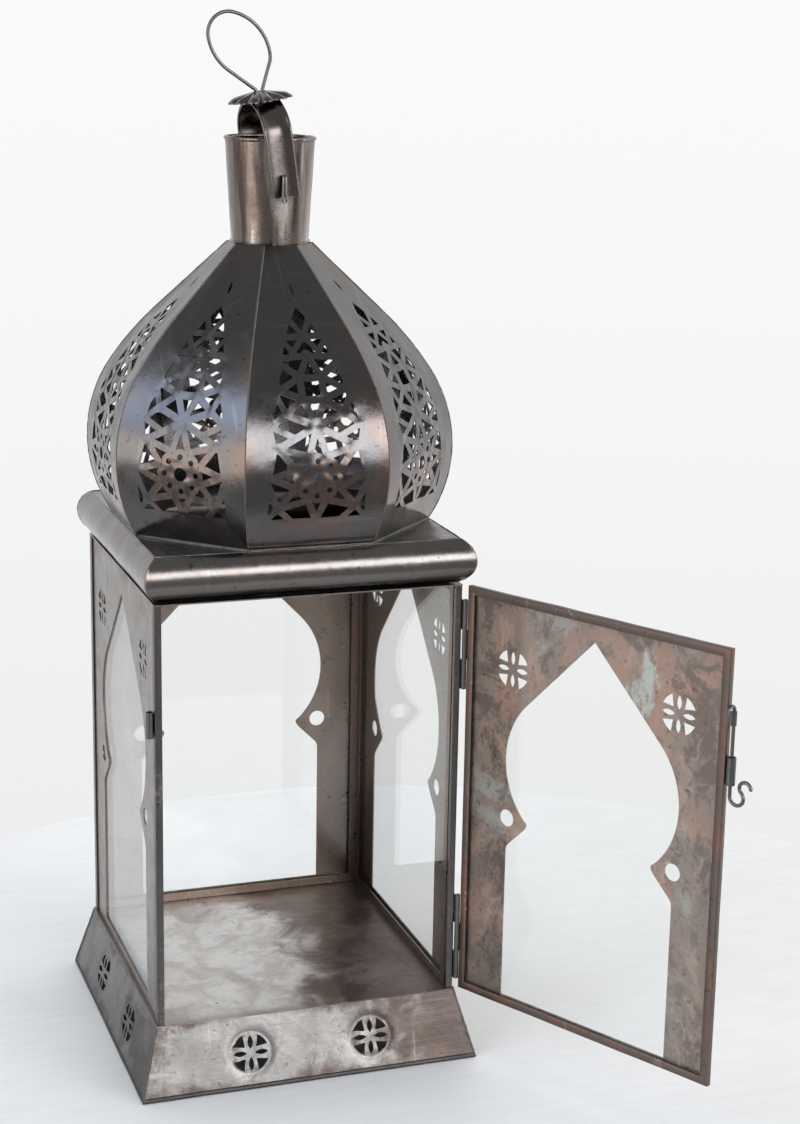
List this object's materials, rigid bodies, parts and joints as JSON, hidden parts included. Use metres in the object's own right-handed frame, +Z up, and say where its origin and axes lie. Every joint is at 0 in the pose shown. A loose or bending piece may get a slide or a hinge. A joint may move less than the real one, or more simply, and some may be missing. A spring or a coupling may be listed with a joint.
{
  "type": "moroccan metal lantern",
  "caption": "Square glazed metal candle lantern with a hinged arched door, drop-hook latch, bullnose cornice, pierced onion dome, chimney, swinging bail and hanging ring.",
  "frame": {"origin": "centre of the base's underside, on the surface the lantern stands on", "axes": "+Z up along the lantern's axis, -Y out through the door opening, +X towards the hinge side"},
  "size_m": [0.3261, 0.4107, 0.682],
  "materials": {
    "blackened_sheet_metal": "blackened iron sheet with a brown tinge, semi-gloss lacquer",
    "mottled_copper_brown_metal": "mottled copper-brown heat patina, part matte",
    "grey_steel_wire": "bare grey wire, lightly tarnished",
    "window_glass": "clear, smooth"
  },
  "bodies": {
    "lantern_body": {"base_hem": "blackened_sheet_metal", "skirt_front": "blackened_sheet_metal", "skirt_right": "blackened_sheet_metal", "skirt_back": "blackened_sheet_metal", "skirt_left": "blackened_sheet_metal", "floor_plate": "mottled_copper_brown_metal", "post_front_left": "blackened_sheet_metal", "post_front_right": "blackened_sheet_metal", "post_back_right": "blackened_sheet_metal", "post_back_left": "blackened_sheet_metal", "wall_right": "blackened_sheet_metal", "wall_back": "blackened_sheet_metal", "wall_left": "blackened_sheet_metal", "glass_right": "window_glass", "glass_back": "window_glass", "glass_left": "window_glass", "bead_right": "blackened_sheet_metal", "bead_back": "blackened_sheet_metal", "bead_left": "blackened_sheet_metal", "head_ring": "blackened_sheet_metal", "cornice_front": "blackened_sheet_metal", "cornice_right": "blackened_sheet_metal", "cornice_back": "blackened_sheet_metal", "cornice_left": "blackened_sheet_metal", "top_plate": "blackened_sheet_metal", "dome_panel_1": "blackened_sheet_metal", "dome_panel_2": "blackened_sheet_metal", "dome_panel_3": "blackened_sheet_metal", "dome_panel_4": "blackened_sheet_metal", "dome_panel_5": "blackened_sheet_metal", "dome_panel_6": "blackened_sheet_metal", "dome_panel_7": "blackened_sheet_metal", "dome_panel_8": "blackened_sheet_metal", "chimney": "mottled_copper_brown_metal", "chimney_rim": "blackened_sheet_metal", "bail_pin_front": "grey_steel_wire", "bail_pin_back": "grey_steel_wire", "hinge_leaf_upper": "grey_steel_wire", "hinge_leaf_lower": "grey_steel_wire", "hinge_pin_upper": "grey_steel_wire", "hinge_pin_lower": "grey_steel_wire", "latch_keeper": "grey_steel_wire"},
    "door": {"door_rail_top": "mottled_copper_brown_metal", "door_rail_bottom": "mottled_copper_brown_metal", "door_stile_hinge": "mottled_copper_brown_metal", "door_stile_latch": "mottled_copper_brown_metal", "door_panel": "mottled_copper_brown_metal", "door_glass": "window_glass", "door_knuckle_upper": "grey_steel_wire", "door_knuckle_lower": "grey_steel_wire", "hook_guide": "grey_steel_wire"},
    "latch_bolt": {"latch_hook": "grey_steel_wire", "latch_collar": "grey_steel_wire"},
    "bail": {"bail_strap": "blackened_sheet_metal", "petal_cap": "blackened_sheet_metal"},
    "ring": {"hanging_ring": "grey_steel_wire"}
  },
  "joints": [
    {"name": "door_hinge", "type": "hinge", "parent": "lantern_body", "child": "door", "pos_m": [0.103, -0.1015, 0.1865], "axis": [0, 0, 1], "range_deg": [-118.5, 59.5]},
    {"name": "latch_slide", "type": "slide", "parent": "door", "child": "latch_bolt", "axis": [0, 0, 1], "range_m": [-0.028, 0]},
    {"name": "bail_swing", "type": "hinge", "parent": "lantern_body", "child": "bail", "pos_m": [0, 0, 0.58105], "axis": [0, 1, 0], "range_deg": [-87, 103]},
    {"name": "ring_swivel", "type": "hinge", "parent": "bail", "child": "ring", "pos_m": [0, 0, 0.58105], "axis": [-0.1392, 0, 0.9903], "continuous": true}
  ]
}
